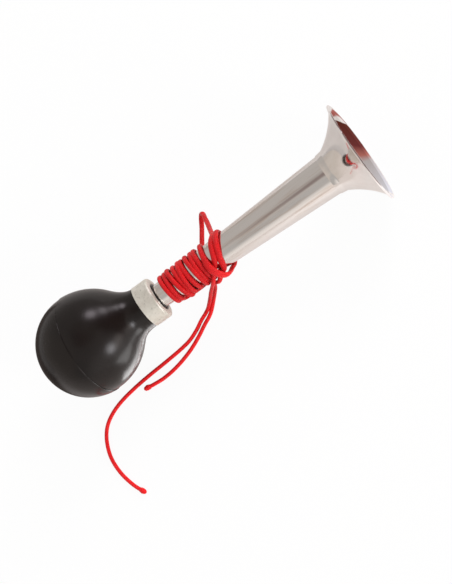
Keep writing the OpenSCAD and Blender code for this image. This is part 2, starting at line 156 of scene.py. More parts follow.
# Columns as in HITCH
STRAND = [
    (18, 10.6, LAY_LOW), (38, 10.2, LAY_1), (60, 9.1, LAY_1), (84, 7.6, LAY_1), (112, 5.9, LAY_1),
    (128, 4.4, LAY_1), (140, 2.8, LAY_1), (150, 0.9, LAY_1 + LOOSE_GAP), (160, -1.3, LAY_HIGH),
    (170, -3, LAY_2), (183, -4.8, LAY_2), (198, -6.2, LAY_2),
]
# The two tails, with columns as in LOOP
LONG = [
    (-9, -11.6, 23), (-11.4, -11.5, 19), (-14, -11.7, 14.5), (-17.2, -12.1, 9.5), (-20.8, -12.9, 5),
    (-24.5, -13.6, 2.2), (-29, -15.2), (-34, -18.2), (-41, -21.2), (-48, -22.5), (-56, -23.3),
    (-64, -23.9), (-72, -24.4), (-80, -25.1), (-87, -26), (-94, -27.2), (-100.5, -29), (-106, -31.4),
    (-110.7, -34.6), (-114.2, -38.6), (-117, -44), (-119, -51), (-119.4, -58), (-118.4, -66),
    (-116.2, -73.4), (-114.2, -78, BEAD_R), (-113, -80.2, BEAD_R),
]
SHORT = [
    (-7.6, -9.8, 18), (-10.6, -10.4, 13), (-13.6, -11.4, 9.2), (-17, -12.9, 5.6), (-20.6, -14.8, 2.8),
    (-24.4, -16.6), (-28.4, -18.6), (-35.6, -22.8), (-42, -25.9), (-48, -28.1), (-54.6, -29.9),
    (-61, -31), (-67.6, -31.4), (-73.6, -31.1, BEAD_R), (-76, -30.8, BEAD_R),
]


def ease(u):
    u = min(1.0, max(0.0, u))
    return u * u * (3 - 2 * u)


def on_tube(angle, x, lay):
    r, a = tube_r(x) + lay, math.radians(angle)
    return Vector((x, r * math.cos(a), AXIS_Z + r * math.sin(a)))


def slope(rows, i, c):
    a, b = rows[max(i - 1, 0)], rows[min(i + 1, len(rows) - 1)]
    return (b[c] - a[c]) / (b[0] - a[0])


def smooth(rows, t, c):
    """Column c of the rows at t, on a smooth curve; column 0 falls from row to row."""
    i = 0
    while i < len(rows) - 2 and t < rows[i + 1][0]:
        i += 1
    h = rows[i + 1][0] - rows[i][0]
    u = (t - rows[i][0]) / h
    return (
        (2 * u ** 3 - 3 * u ** 2 + 1) * rows[i][c] + (u ** 3 - 2 * u ** 2 + u) * h * slope(rows, i, c)
        + (3 * u ** 2 - 2 * u ** 3) * rows[i + 1][c] + (u ** 3 - u ** 2) * h * slope(rows, i + 1, c)
    )


def wound(turns):
    steps = sum(ease(2 * (turns - end) + 1) for end in GROUP_ENDS)
    return WIND_PITCH * turns + GROUP_GAP * steps


# Some passes of the winding stray over their neighbours. STRAY is the way of one of them: turns from
# its start, shift along the horn and lift. STRAYS gives where each one starts, and its size.
STRAY = [(0, 0, 0), (0.25, 0.9, 0.8), (0.47, 1.6, 1.3), (0.7, 0.3, 1.0), (0.95, -1.4, 0.5), (1.3, 0, 0)]
STRAYS = [(5.55, 1.0), (3.6, -0.45), (1.55, 0.5)]


def stray(turns, c):
    total = 0.0
    for start, size in STRAYS:
        if 0 < turns - start < STRAY[-1][0]:
            rows = [(-r[0], size * r[1], abs(size) * r[2]) for r in STRAY]
            total += smooth(rows, start - turns, c)
    return total


# Angle between two points of the winding's line, and the angle before its end where the loop takes over
WIND_STEP, WIND_REST = 5, 14
# The turns waver along the horn, less so near the winding's two ends
WAVER, WAVER_RATE, WAVER_START, WAVER_LEAD = 0.25, 8.6, 1, 0.5


def winding_line():
    end_angle, end_x = HITCH[-1][0], HITCH_X + HITCH[-1][1]
    last = end_angle - 360 * WIND_TURNS
    line = []
    angle = HITCH[0][0]
    while angle >= last + WIND_REST:
        if angle > end_angle:
            x, lay = HITCH_X + smooth(HITCH, angle, 1), smooth(HITCH, angle, 2)
        else:
            turns = (end_angle - angle) / 360
            slack = ease(turns / WAVER_LEAD) * ease((WIND_TURNS - turns) / WAVER_LEAD)
            waver = slack * WAVER * math.sin(WAVER_RATE * turns + WAVER_START)
            x, lay = end_x - wound(turns) + stray(turns, 1) + waver, LAY_1 + stray(turns, 2)
        line.append(on_tube(angle, x, lay))
        angle -= WIND_STEP
    return line


def through(points, steps):
    """A smooth line through points, with so many steps from each to the next."""
    n, line = len(points) - 1, []
    for i in range(n):
        a = points[i - 1] if i > 0 else 2 * points[0] - points[1]
        d = points[i + 2] if i < n - 1 else 2 * points[n] - points[n - 1]
        for s in range(steps + (1 if i == n - 1 else 0)):
            u = s / steps
            line.append(
                points[i] * (1 - u) ** 2 * (1 + 2 * u) + points[i + 1] * u ** 2 * (3 - 2 * u)
                + (points[i + 1] - a) / 2 * u * (1 - u) ** 2 - (d - points[i]) / 2 * u ** 2 * (1 - u)
            )
    return line


def led_on(line, points, steps):
    """A route that goes straight on from a line's end and then through points, and not below the floor."""
    start = line[-1]
    lead = CORD_D * (start - line[-2]).normalized()
    route = through([start, start + lead, *points], steps)
    route = [start, start + lead / 2, *route[steps:]]
    return [Vector((p.x, p.y, max(p.z, TAIL_Z))) for p in route]


def from_hitch(rows):
    return [Vector((HITCH_X + r[0], r[1], r[2] if len(r) > 2 else TAIL_Z)) for r in rows]


# The run back under the winding ends this far before HITCH_X
LOOP_LEAVES = 6.5
LOOP_STEPS, TAIL_STEPS = 6, 5
winding = winding_line()
wind_end_x = winding[-1].x
run_length = HITCH_X - LOOP_LEAVES - wind_end_x
back = [on_tube(a, wind_end_x + share * run_length, lay) for a, share, lay in BACK_RUN]
strand = [on_tube(a, HITCH_X + x, lay) for a, x, lay in STRAND]
loop = led_on(winding, back + from_hitch(LOOP) + strand, LOOP_STEPS)
tail_long = led_on(loop, from_hitch(LONG), TAIL_STEPS)
tail_short = led_on(winding[::-1], from_hitch(SHORT), TAIL_STEPS)


def distances(line, start=0.0):
    """How far along a line each of its points lies."""
    along = [start]
    for a, b in zip(line, line[1:]):
        along.append(along[-1] + (b - a).length)
    return along


def length_of(line):
    return distances(line)[-1]


# The whole cord from knot to knot, and the places where one piece ends and the next begins
chain, cuts = tail_short[::-1], [0, len(tail_short) - 1]
for line in (winding, loop, tail_long):
    chain += line[1:]
    cuts.append(len(chain) - 1)
chain_at = distances(chain)


# Meshes
def new_object(name, verts, faces, uvs=None, sharp=40):
    mesh = bpy.data.meshes.new(name)
    mesh.from_pydata([Vector(v) * MM for v in verts], [], faces)
    mesh.validate()
    if uvs:
        layer = mesh.uv_layers.new(name="UVMap")
        for corner, uv in zip(layer.data, uvs):
            corner.uv = uv
    mesh.polygons.foreach_set("use_smooth", [True] * len(mesh.polygons))
    mesh.set_sharp_from_angle(angle=math.radians(sharp))
    mesh.update()
    obj = bpy.data.objects.new(name, mesh)
    bpy.context.scene.collection.objects.link(obj)
    return obj


FIRST_SIDE = (0.3, 0.5, 0.8)


def frames(line):
    """Headings and side vectors carried along a line without twist."""
    n = len(line)
    heads = [(line[min(i + 1, n - 1)] - line[max(i - 1, 0)]).normalized() for i in range(n)]
    side = Vector(FIRST_SIDE)
    sides = []
    for t in heads:
        side = (side - side.dot(t) * t).normalized()
        sides.append(side.copy())
    return heads, sides


# Where the cord is pulled tight round the tube it is pressed wider and thinner and settles in.
# The plain turns lie side by side, the strands of the hitch spread further and stay full,
# and the one that crosses back over the top spreads most.
PRESS_PLAIN, PRESS_HITCH, PRESS_CROSS = 0.23, 0.55, 0.75
PRESS_THIN, PRESS_IN, FULL_HITCH = 0.1, 0.08, 0.35
# The press comes on over this length of cord, and varies a little along it
PRESS_LEAD, PRESS_VARIES, PRESS_RATE = 6.0, 0.05, 0.31
# Turns from the winding's start to the hitch's end, to the crossing, and half of the crossing's reach
HITCH_TURNS, CROSS_TURNS, CROSS_HALF = 1.75, 1.4, 0.35
# The loop's legs are pressed by less. Starts, leads and stops are in lengths of the strand over the front
# of the tube, which is the last part of the loop's line, counted from the strand's start.
LEG_PRESS, LEG_START, LEG_LEAD = 0.5, -2.2, 0.3
STRAND_LEAD, STRAND_STOP, STRAND_FADE = 0.25, 0.66, 0.2
STRAND_LENGTH = length_of(strand)


def press_winding(at):
    """How far the cord is pressed at a place along it, and how much wider and higher that makes it."""
    run = at - chain_at[cuts[1]]
    flat = ease(min(run, chain_at[cuts[2]] - at) / PRESS_LEAD)
    flat *= 1 - PRESS_VARIES + PRESS_VARIES * math.sin(PRESS_RATE * at)
    turn = 2 * math.pi * (tube_r(HITCH_X) + LAY_1)
    share = ease((HITCH_TURNS * turn - run) / turn)
    wide = PRESS_PLAIN + (PRESS_HITCH - PRESS_PLAIN) * share
    wide += PRESS_CROSS * ease(1 - abs(run / turn - CROSS_TURNS) / CROSS_HALF)
    return flat, wide, (FULL_HITCH + PRESS_THIN) * share - PRESS_THIN


def press_strand(at):
    u = 1 - (chain_at[cuts[3]] - at) / STRAND_LENGTH
    leg = LEG_PRESS * ease((u - LEG_START) / LEG_LEAD)
    flat = max(leg, ease(u / STRAND_LEAD)) * ease((STRAND_STOP - u) / STRAND_FADE)
    return flat, PRESS_HITCH, FULL_HITCH * ease(u / STRAND_LEAD)


CORD_SIDES = 14


def cord_mesh(name, line, heads, sides, start, press):
    """A closed tube along a line, with its length and its angle as UVs."""
    count = CORD_SIDES
    verts, faces, uvs = [], [], []
    along = distances(line, start)
    for i, (p, t, v) in enumerate(zip(line, heads, sides)):
        flat, wider, higher = press(along[i]) if press else (0.0, 0.0, 0.0)
        out = Vector((0, p.y, p.z - AXIS_Z))
        out = (out - out.dot(t) * t).normalized()
        wide = t.cross(v)
        for k in range(count):
            a = 2 * math.pi * k / count
            spoke = CORD_R * (math.cos(a) * v + math.sin(a) * wide)
            depth = spoke.dot(out)
            taller = higher if depth > 0 else -PRESS_THIN
            spoke += flat * (wider * (spoke - depth * out) + taller * depth * out)
            verts.append(p + spoke - flat * PRESS_IN * out)
    for i in range(len(line) - 1):
        for k in range(count):
            k2 = (k + 1) % count
            faces.append((i * count + k, i * count + k2, (i + 1) * count + k2, (i + 1) * count + k))
            uvs += [
                (along[i], k / count), (along[i], (k + 1) / count),
                (along[i + 1], (k + 1) / count), (along[i + 1], k / count),
            ]
    last = (len(line) - 1) * count
    faces.append(tuple(range(count - 1, -1, -1)))
    faces.append(tuple(last + k for k in range(count)))
    uvs += [(along[0], 0.5)] * count + [(along[-1], 0.5)] * count
    return new_object(name, verts, faces, uvs, sharp=60)


chain_heads, chain_sides = frames(chain)
cord_pieces = {}
cord_names = ("short_tail", "winding", "loop", "long_tail")
presses = (None, press_winding, press_strand, None)
for name, first, last, press in zip(cord_names, cuts, cuts[1:], presses):
    part = slice(first, last + 1)
    cord_pieces[name] = cord_mesh(
        name, chain[part], chain_heads[part], chain_sides[part], chain_at[first], press
    )


def lathe(name, profile, segments, move=None, sharp=35):
    """A closed profile of (place along the horn, radius) turned round the horn's axis, then moved."""
    verts, faces, rings = [], [], []
    for x, r in profile:
        if r < 1e-6:
            rings.append([len(verts)])
            verts.append(Vector((x, 0, AXIS_Z)))
            continue
        rings.append(list(range(len(verts), len(verts) + segments)))
        for k in range(segments):
            a = 2 * math.pi * k / segments
            verts.append(Vector((x, r * math.cos(a), AXIS_Z + r * math.sin(a))))
    for p, q in zip(rings, rings[1:] + rings[:1]):
        if len(p) == 1 and len(q) == 1:
            continue
        for k in range(segments):
            k2 = (k + 1) % segments
            if len(p) == 1:
                faces.append((p[0], q[k2], q[k]))
            elif len(q) == 1:
                faces.append((p[k], p[k2], q[0]))
            else:
                faces.append((p[k], p[k2], q[k2], q[k]))
    if move:
        verts = [move(v) for v in verts]
    return new_object(name, verts, faces, sharp=sharp)


def arc(cx, cr, radius, start, end, steps):
    """Points of an arc in a profile; angle 0 points away from the axis, 90 towards +X."""
    out = []
    for i in range(steps + 1):
        a = math.radians(start + (end - start) * i / steps)
        out.append((cx + radius * math.sin(a), cr + radius * math.cos(a)))
    return out


# Knots: a round knob of fused cord at the end of each tail
KNOT_ROWS, KNOT_SIDES, KNOT_LOWEST = 16, 24, 0.02


def knot_swell(x, r, angle):
    """The knob is a little uneven, except where it meets the cord."""
    if r <= CORD_R * 1.02:
        return 1
    return 1 + 0.05 * math.sin(2 * angle + 4 * x) - 0.03 * math.sin(3 * angle - 2 * x)


def knot(name, line):
    end, count = line[-1], KNOT_SIDES
    go = (line[-1] - line[-2]).normalized()
    go.z = 0
    go.normalize()
    side = Vector((-go.y, go.x, 0))
    up = Vector((0, 0, 1))
    start = math.asin(CORD_R / BEAD_R)
    rows = []
    for i in range(KNOT_ROWS + 1):
        a = start + (math.pi - start) * i / KNOT_ROWS
        x = BEAD_L * (math.cos(start) - math.cos(a)) / (1 + math.cos(start))
        rows.append((x, BEAD_R * math.sin(a)))
    verts = [end.copy()]
    for x, r in rows[:-1]:
        for k in range(count):
            b = 2 * math.pi * k / count
            verts.append(end + go * x + r * knot_swell(x, r, b) * (math.cos(b) * side + math.sin(b) * up))
    verts.append(end + go * rows[-1][0])
    for v in verts:
        v.z = max(v.z, KNOT_LOWEST)
    faces = [(0, 1 + (k + 1) % count, 1 + k) for k in range(count)]
    for i in range(len(rows) - 2):
        for k in range(count):
            k2 = (k + 1) % count
            a, b = 1 + i * count, 1 + (i + 1) * count
            faces.append((a + k, a + k2, b + k2, b + k))
    a = 1 + (len(rows) - 2) * count
    faces += [(a + k, a + (k + 1) % count, len(verts) - 1) for k in range(count)]
    return new_object(name, verts, faces, sharp=75)


knots = {"short_knot": knot("short_knot", tail_short), "long_knot": knot("long_knot", tail_long)}


# Bulb: two moulded halves. The soft neck lets it lean a little to one side of the horn,
# its seam is turned a little from square, and the rear half sits a little off the front one there.
LEAN, LEAN_LENGTH, SEAM_STEP = 2.0, 14.5, 0.4
SEAM_YAW, SEAM_PITCH, SEAM_AHEAD, TURN_LENGTH = -7.0, 7.0, 0.5, 24.0


def turned(v, share):
    pitch = Matrix.Rotation(math.radians(-SEAM_PITCH * share), 3, "Y")
    yaw = Matrix.Rotation(math.radians(SEAM_YAW * share), 3, "Z")
    middle = Vector((BULB_X, 0, AXIS_Z))
    return middle + yaw @ pitch @ (v - middle)


def lean_front(v):
    v = turned(v, 1 - ease((v.x - BULB_X - SEAM_AHEAD) / TURN_LENGTH))
    return Vector((v.x, v.y + LEAN * ease((NECK_X - v.x) / LEAN_LENGTH), v.z))


def lean_rear(v):
    v = turned(v, 1)
    return Vector((v.x, v.y + LEAN - SEAM_STEP, v.z))


# The front half's curve, the angle where it ends, the fillet to the neck and the wall's thickness
FRONT_R, SHOULDER, FILLET_R, WALL = 36.5, 45.0, 17.0, 2.4
# The thickness of the collar's face, and the gap that keeps a piece just clear of what it grips
COLLAR_FACE, PUSH = 2, 0.05
NECK_R, HOLE_R, NECK_START_R = COLLAR_R - 1.7, tube_r(COLLAR_X) + 1.2, COLLAR_R - 0.3
# The neck's lip stands proud of the collar's face, with rounded edges
LIP_RISE, LIP_SOFT, LIP_OUTER, LIP_INNER = 0.65, 0.15, 0.25, 0.2
# The seam is a groove, and the curves start these angles away from it
SEAM_DEPTH, SEAM_HALF, SEAM_FRONT, SEAM_REAR = 0.22, 0.25, 0.6, 0.4
BULB_SEGMENTS = 160


def bulb_front_profile():
    c, s = math.cos(math.radians(SHOULDER)), math.sin(math.radians(SHOULDER))
    front_r = BULB_R - FRONT_R
    shoulder = (BULB_X + FRONT_R * s, front_r + FRONT_R * c)
    fillet_r = NECK_START_R + FILLET_R
    shift = (shoulder[1] - (fillet_r - FILLET_R * c)) / s
    meet = (shoulder[0] + shift * c, shoulder[1] - shift * s)
    fillet_x = meet[0] + FILLET_R * s
    end = math.degrees(math.asin((fillet_x - (NECK_X - PUSH)) / FILLET_R))
    inner = (BULB_X + (FRONT_R - WALL) * s, front_r + (FRONT_R - WALL) * c)
    bore_r = tube_r(TUBE_END_X) + PUSH
    inner_meet_x = inner[0] + (inner[1] - bore_r) / s * c
    seam_x = BULB_X + SEAM_AHEAD
    seam_angle = math.degrees(math.asin(SEAM_AHEAD / FRONT_R))
    seam_r = front_r + FRONT_R * math.cos(math.radians(seam_angle))
    lip_x = COLLAR_X + LIP_RISE
    flat_x = COLLAR_X - COLLAR_FACE - PUSH
    outside = [(seam_x, seam_r - SEAM_DEPTH), (seam_x + SEAM_HALF, seam_r)]
    outside += arc(BULB_X, front_r, FRONT_R, seam_angle + SEAM_FRONT, SHOULDER, 32)
    outside += arc(fillet_x, fillet_r, FILLET_R, 180 + SHOULDER, 180 + end, 20)[1:]
    neck = [
        (NECK_X - PUSH, NECK_R - PUSH), (flat_x, NECK_R - PUSH), (flat_x, HOLE_R - PUSH),
        (lip_x - LIP_SOFT, HOLE_R - PUSH), (lip_x, HOLE_R - LIP_OUTER), (lip_x, tube_r(lip_x) + LIP_INNER),
        (lip_x - LIP_SOFT, tube_r(lip_x) + PUSH), (TUBE_END_X, bore_r), (inner_meet_x, bore_r),
    ]
    inside = arc(BULB_X, front_r, FRONT_R - WALL, SHOULDER, seam_angle, 20)
    return outside + neck + inside


def bulb_rear_profile():
    seam_x = BULB_X + SEAM_AHEAD
    outer_angle = math.degrees(math.asin(SEAM_AHEAD / BULB_R))
    inner_angle = math.degrees(math.asin(SEAM_AHEAD / (BULB_R - WALL)))
    seam_r = BULB_R * math.cos(math.radians(outer_angle))
    outside = [(seam_x, seam_r - SEAM_DEPTH)]
    outside += arc(BULB_X, 0, BULB_R, outer_angle - SEAM_REAR, -90, 40)
    inside = arc(BULB_X, 0, BULB_R - WALL, -90, inner_angle, 30)
    outside[-1], inside[0] = (BULB_X - BULB_R, 0), (BULB_X - BULB_R + WALL, 0)
    return outside + inside


bulb_front = lathe("bulb_shell_front", bulb_front_profile(), BULB_SEGMENTS, lean_front)
bulb_rear = lathe("bulb_shell_rear", bulb_rear_profile(), BULB_SEGMENTS, lean_rear)


# Bell: the flare with its hem and socket, turned with fine steps so that it mirrors cleanly
FLARE_R, SHEET = 47.0, 0.7
# The socket's length, its thin edge and the small round of that edge
SOCKET_L, SOCKET_EDGE, EDGE_ROUND = 4, 0.3, (0.1, 0.06)
# The hem's width and thickness, and the steps where the sheet runs into it outside and inside
HEM_W, HEM_T = 1.5, 1.3
HEM_STEP, HEM_INNER_STEP, HEM_SINK = 0.12, 0.1, 0.25
# Where the socket passes into the flare
BLEND_X, BLEND_R = 0.7, 0.02
BELL_SEGMENTS, FLARE_STEPS = 256, 56


def bell_profile():
    start_r = tube_r(FLARE_X) + PUSH + SHEET
    chord = (MOUTH_R - start_r, MOUTH_X - FLARE_X)
    leaning = math.atan2(*chord)
    half = math.asin(math.hypot(*chord) / 2 / FLARE_R)
    centre_x = FLARE_X - FLARE_R * math.sin(leaning - half)
    centre_r = start_r + FLARE_R * math.cos(leaning - half)

    def flare(r, x_end):
        """Points on the hollow curve of radius r, from the socket to x_end."""
        first = math.asin((FLARE_X - centre_x) / r)
        sweep = math.asin((x_end - centre_x) / r) - first
        angles = [first + sweep * i / FLARE_STEPS for i in range(FLARE_STEPS + 1)]
        return [(centre_x + r * math.sin(a), centre_r - r * math.cos(a)) for a in angles]

    socket_x = FLARE_X - SOCKET_L
    socket_r = tube_r(socket_x) + PUSH
    edge_r = socket_r + SOCKET_EDGE
    outside = [(socket_x, socket_r), (socket_x, edge_r), (socket_x + EDGE_ROUND[0], edge_r + EDGE_ROUND[1])]
    outside += [(FLARE_X - BLEND_X, start_r - BLEND_R)]
    outside += flare(FLARE_R, MOUTH_X - HEM_T)
    round_r = HEM_T / 2
    hem = [(MOUTH_X - HEM_T, max(outside[-1][1] + HEM_STEP, MOUTH_R - HEM_W))]
    hem += arc(MOUTH_X - round_r, MOUTH_R - round_r, round_r, -80, 90, 17)
    hem += [(MOUTH_X, MOUTH_R - HEM_W + HEM_INNER_STEP)]
    inside = flare(FLARE_R + SHEET, MOUTH_X - HEM_SINK)[::-1]
    inside += [(FLARE_X + SHEET, tube_r(FLARE_X) + PUSH)]
    inside = [p for p in inside if p[1] >= tube_r(FLARE_X) + PUSH]
    return outside + hem + inside


bell = lathe("bell_flare", bell_profile(), BELL_SEGMENTS, sharp=50)


# Materials
def material(name):
    mat = bpy.data.materials.new(name)
    mat.use_nodes = True
    nodes, links = mat.node_tree.nodes, mat.node_tree.links
    return mat, nodes, links, nodes["Principled BSDF"]


def add(nodes, kind, **values):
    node = nodes.new(kind)
    for key, value in values.items():
        if key in node.inputs:
            node.inputs[key].default_value = value
        else:
            setattr(node, key, value)
    return node


def feed(links, value, socket):
    """Links another node's socket to this one, or sets a plain value on it."""
    if isinstance(value, bpy.types.NodeSocket):
        links.new(value, socket)
    else:
        socket.default_value = value


def mixed(nodes, links, factor, under, over, blend_type="MIX"):
    node = add(nodes, "ShaderNodeMix", data_type="RGBA", blend_type=blend_type)
    for key, value in (("Factor", factor), ("A", under), ("B", over)):
        feed(links, value, node.inputs[key])
    return node.outputs["Result"]


def calc(nodes, links, operation, *values, clamp=False):
    node = add(nodes, "ShaderNodeMath", operation=operation, use_clamp=clamp)
    for socket, value in zip(node.inputs, values):
        feed(links, value, socket)
    return node.outputs["Value"]


def ramp(nodes, links, source, stops):
    node = nodes.new("ShaderNodeValToRGB")
    links.new(source, node.inputs["Fac"])
    elements = node.color_ramp.elements
    elements[0].position, elements[1].position = stops[0][0], stops[-1][0]
    for place, _ in stops[1:-1]:
        elements.new(place)
    for element, (_, tint) in zip(elements, stops):
        element.color = (*tint, 1)
    return node.outputs["Color"]


def spread(nodes, links, source, low, high, a=0.0, b=1.0):
    """Goes from low to high as the source goes from a to b."""
    node = add(nodes, "ShaderNodeMapRange")
    links.new(source, node.inputs["Value"])
    for key, value in zip(("From Min", "From Max", "To Min", "To Max"), (a, b, low, high)):
        node.inputs[key].default_value = value
    return node.outputs["Result"]


def split(nodes, links, vector):
    node = nodes.new("ShaderNodeSeparateXYZ")
    links.new(vector, node.inputs["Vector"])
    return node.outputs


def bump(nodes, links, shader, height, strength, distance):
    node = add(nodes, "ShaderNodeBump", Strength=strength, Distance=distance)
    links.new(height, node.inputs["Height"])
    links.new(node.outputs["Normal"], shader.inputs["Normal"])


def noise(nodes, links, place, scale, detail, rough, stretch=None):
    vector = place
    if stretch:
        mapping = add(nodes, "ShaderNodeMapping")
        mapping.inputs["Scale"].default_value = stretch
        links.new(place, mapping.inputs["Vector"])
        vector = mapping.outputs["Vector"]
    node = add(nodes, "ShaderNodeTexNoise", Scale=scale, Detail=detail, Roughness=rough)
    links.new(vector, node.inputs["Vector"])
    return node.outputs["Fac"]


# Most of a noise's values lie between these
NOISE_LOW, NOISE_HIGH = 0.3, 0.7


def noisy_tone(nodes, links, source, dark, light):
    return ramp(nodes, links, source, [(NOISE_LOW, dark), (NOISE_HIGH, light)])


def noisy_roughness(nodes, links, shader, source, low, high):
    links.new(spread(nodes, links, source, low, high, NOISE_LOW, NOISE_HIGH), shader.inputs["Roughness"])


def rubber_material():
    mat, nodes, links, shader = material("rubber_black")
    place = nodes.new("ShaderNodeTexCoord").outputs["Object"]
    mottle = noise(nodes, links, place, 60, 5, 0.6)
    tone = noisy_tone(nodes, links, mottle, (0.0056, 0.0039, 0.0034), (0.0084, 0.0061, 0.0054))
    links.new(tone, shader.inputs["Base Color"])
    smear = noise(nodes, links, place, 28, 4, 0.55)
    noisy_roughness(nodes, links, shader, smear, 0.20, 0.29)
    shader.inputs["IOR"].default_value = 1.38
    fine = noise(nodes, links, place, 900, 3, 0.6)
    bump(nodes, links, shader, fine, 0.10, 0.0002)
    return mat


def chrome_material(name, stained, highlight_from=None):
    """Polished plating with stained streaks along the horn, and a painted highlight, a paler colour, past
    the given place if one is given.
    """
    mat, nodes, links, shader = material(name)
    place = nodes.new("ShaderNodeTexCoord").outputs["Object"]
    stain = noise(nodes, links, place, 260, 4, 0.6, stretch=(0.05, 1, 1))
    tone = ramp(nodes, links, stain, [
        (0.36, stained), (0.47, (0.78, 0.76, 0.735)), (0.7, (0.80, 0.785, 0.765)),
    ])
    if highlight_from:
        along = split(nodes, links, place)["X"]
        painted_highlight = spread(nodes, links, along, 0, 1, highlight_from * MM, (highlight_from + 0.1) * MM)
        # Painted highlight: paler plating past that place
        tone = mixed(nodes, links, painted_highlight, tone, (0.97, 0.96, 0.95, 1))
    links.new(tone, shader.inputs["Base Color"])
    shader.inputs["Metallic"].default_value = 1.0
    streak = noise(nodes, links, place, 220, 3, 0.6, stretch=(0.06, 1, 1))
    noisy_roughness(nodes, links, shader, streak, 0.05, 0.13)
    bump(nodes, links, shader, streak, 0.015, 0.0001)
    return mat


def collar_material():
    mat, nodes, links, shader = material("cast_aluminium")
    place = nodes.new("ShaderNodeTexCoord").outputs["Object"]
    grain = noise(nodes, links, place, 520, 5, 0.7)
    patch = noise(nodes, links, place, 110, 4, 0.6)
    tone = ramp(nodes, links, grain, [
        (0.28, (0.50, 0.49, 0.44)), (0.42, (0.80, 0.79, 0.72)), (0.75, (0.90, 0.89, 0.83)),
    ])
    shade = ramp(nodes, links, patch, [(0.35, (0.86, 0.85, 0.82)), (0.65, (1, 1, 1))])
    links.new(mixed(nodes, links, 1.0, tone, shade, "MULTIPLY"), shader.inputs["Base Color"])
    shader.inputs["Metallic"].default_value = 0.7
    noisy_roughness(nodes, links, shader, patch, 0.44, 0.58)
    lathe_marks = noise(nodes, links, place, 900, 2, 0.5, stretch=(1, 0.05, 0.05))
    bump(nodes, links, shader, calc(nodes, links, "ADD", grain, lathe_marks), 0.18, 0.0002)
    return mat


def brass_material():
    mat, nodes, links, shader = material("reed_brass")
    place = nodes.new("ShaderNodeTexCoord").outputs["Object"]
    stain = noise(nodes, links, place, 260, 5, 0.65)
    tone = noisy_tone(nodes, links, stain, (0.50, 0.34, 0.13), (0.78, 0.58, 0.27))
    links.new(tone, shader.inputs["Base Color"])
    shader.inputs["Metallic"].default_value = 1.0
    noisy_roughness(nodes, links, shader, stain, 0.22, 0.42)
    drawn = noise(nodes, links, place, 1500, 2, 0.5, stretch=(0.05, 1, 1))
    bump(nodes, links, shader, drawn, 0.12, 0.0001)
    return mat


# Strands of the braid round the cord, and how many of them a millimetre of it passes
BRAID_STRANDS, BRAID_TURNS = 8, 2.2
# Painted light: the cord's tails, in front of the horn, are brighter than the winding; from one to the
# other across Y
TAILS_Y, WINDING_Y = -15.0, -11.2


def cord_material(name, braided):
    mat, nodes, links, shader = material(name)
    coord = nodes.new("ShaderNodeTexCoord")
    place = coord.outputs["Object"]
    fade = noise(nodes, links, place, 160, 3, 0.5)
    tone = noisy_tone(nodes, links, fade, (0.54, 0.005, 0.0075), (0.66, 0.008, 0.011))
    # Painted light: a paler red for the tails, as if the pale floor under them lit them
    painted_floor_light = noisy_tone(nodes, links, fade, (0.80, 0.010, 0.013), (0.95, 0.015, 0.019))
    in_front = spread(nodes, links, split(nodes, links, place)["Y"], 1, 0, TAILS_Y * MM, WINDING_Y * MM)
    links.new(mixed(nodes, links, in_front, tone, painted_floor_light), shader.inputs["Base Color"])
    shader.inputs["Roughness"].default_value = 0.46 if braided else 0.34
    shader.inputs["Specular IOR Level"].default_value = 0.25
    shader.inputs["Sheen Weight"].default_value = 0.06
    shader.inputs["Sheen Roughness"].default_value = 0.4
    shader.inputs["Sheen Tint"].default_value = (1.0, 0.45, 0.42, 1)
    if not braided:
        bump(nodes, links, shader, noise(nodes, links, place, 700, 3, 0.6), 0.3, 0.0002)
        return mat
    # Two sets of strands wind round the cord in opposite ways
    along, around, _ = split(nodes, links, coord.outputs["UV"])
    waves = []
    for way in (1, -1):
        lay = calc(nodes, links, "MULTIPLY", along, 2 * math.pi * BRAID_TURNS * way)
        turn = calc(nodes, links, "MULTIPLY_ADD", around, 2 * math.pi * BRAID_STRANDS, lay)
        waves.append(calc(nodes, links, "SINE", turn))
    bump(nodes, links, shader, calc(nodes, links, "MULTIPLY", *waves), 0.16, 0.0001)
    return mat


# Painted highlight: the hem's plating is paler from this far behind the mouth, for a bright line along the
# rim
HEM_HIGHLIGHT = 1.35
rubber = rubber_material()
chrome = chrome_material("plated_metal", (0.71, 0.65, 0.60))
chrome_bell = chrome_material("plated_bell", (0.765, 0.74, 0.715), MOUTH_X - HEM_HIGHLIGHT)
collar_metal = collar_material()
brass = brass_material()
braid = cord_material("cord_braid", True)
fused = cord_material("cord_fused", False)


def dress(obj, mat):
    obj.data.materials.clear()
    obj.data.materials.append(mat)
    return obj


for name, mat in (
    ("horn_tube", chrome), ("collar", collar_metal), ("reed_body", brass), ("reed_tongue", brass),
    ("reed_wedge", brass), ("reed_ring", brass),
):
    dress(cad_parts[name], mat)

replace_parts(dress(bell, chrome_bell), "bell")
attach(bell, "horn")
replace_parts(dress(bulb_front, rubber), "bulb_front")
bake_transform(bulb_front)
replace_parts(dress(bulb_rear, rubber), "bulb_rear")
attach(bulb_rear, "bulb_end")
for name, node in (
    ("winding", "cord_winding"), ("loop", "cord_loop"),
    ("short_tail", "cord_tail_short"), ("long_tail", "cord_tail_long"),
):
    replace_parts(dress(cord_pieces[name], braid), node)
    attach(cord_pieces[name], "horn")
for name, node in (("short_knot", "cord_bead_short"), ("long_knot", "cord_bead_long")):
    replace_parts(dress(knots[name], fused), node)
    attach(knots[name], "horn")


# Stage: a pale floor, soft surroundings, two soft lamps, and strips and cards that only mirrors see
FLOOR_HALF, FLOOR_Z = 8.0, -0.0002
# How much of the floor is plain white to the camera; the rest is lit, and keeps the shadow
FLOOR_WHITE = 0.94
# The floor as mirrors see it, with painted light and shade across Y: palest in front of the horn and darker
# behind it
SHADE_Y = (-0.09, 0.07)
SHADE = [
    (0.0, (1.24, 1.10, 1.04)), (0.34, (1.14, 1.01, 0.97)), (0.56, (0.85, 0.76, 0.72)),
    (1.0, (0.57, 0.48, 0.44)),
]
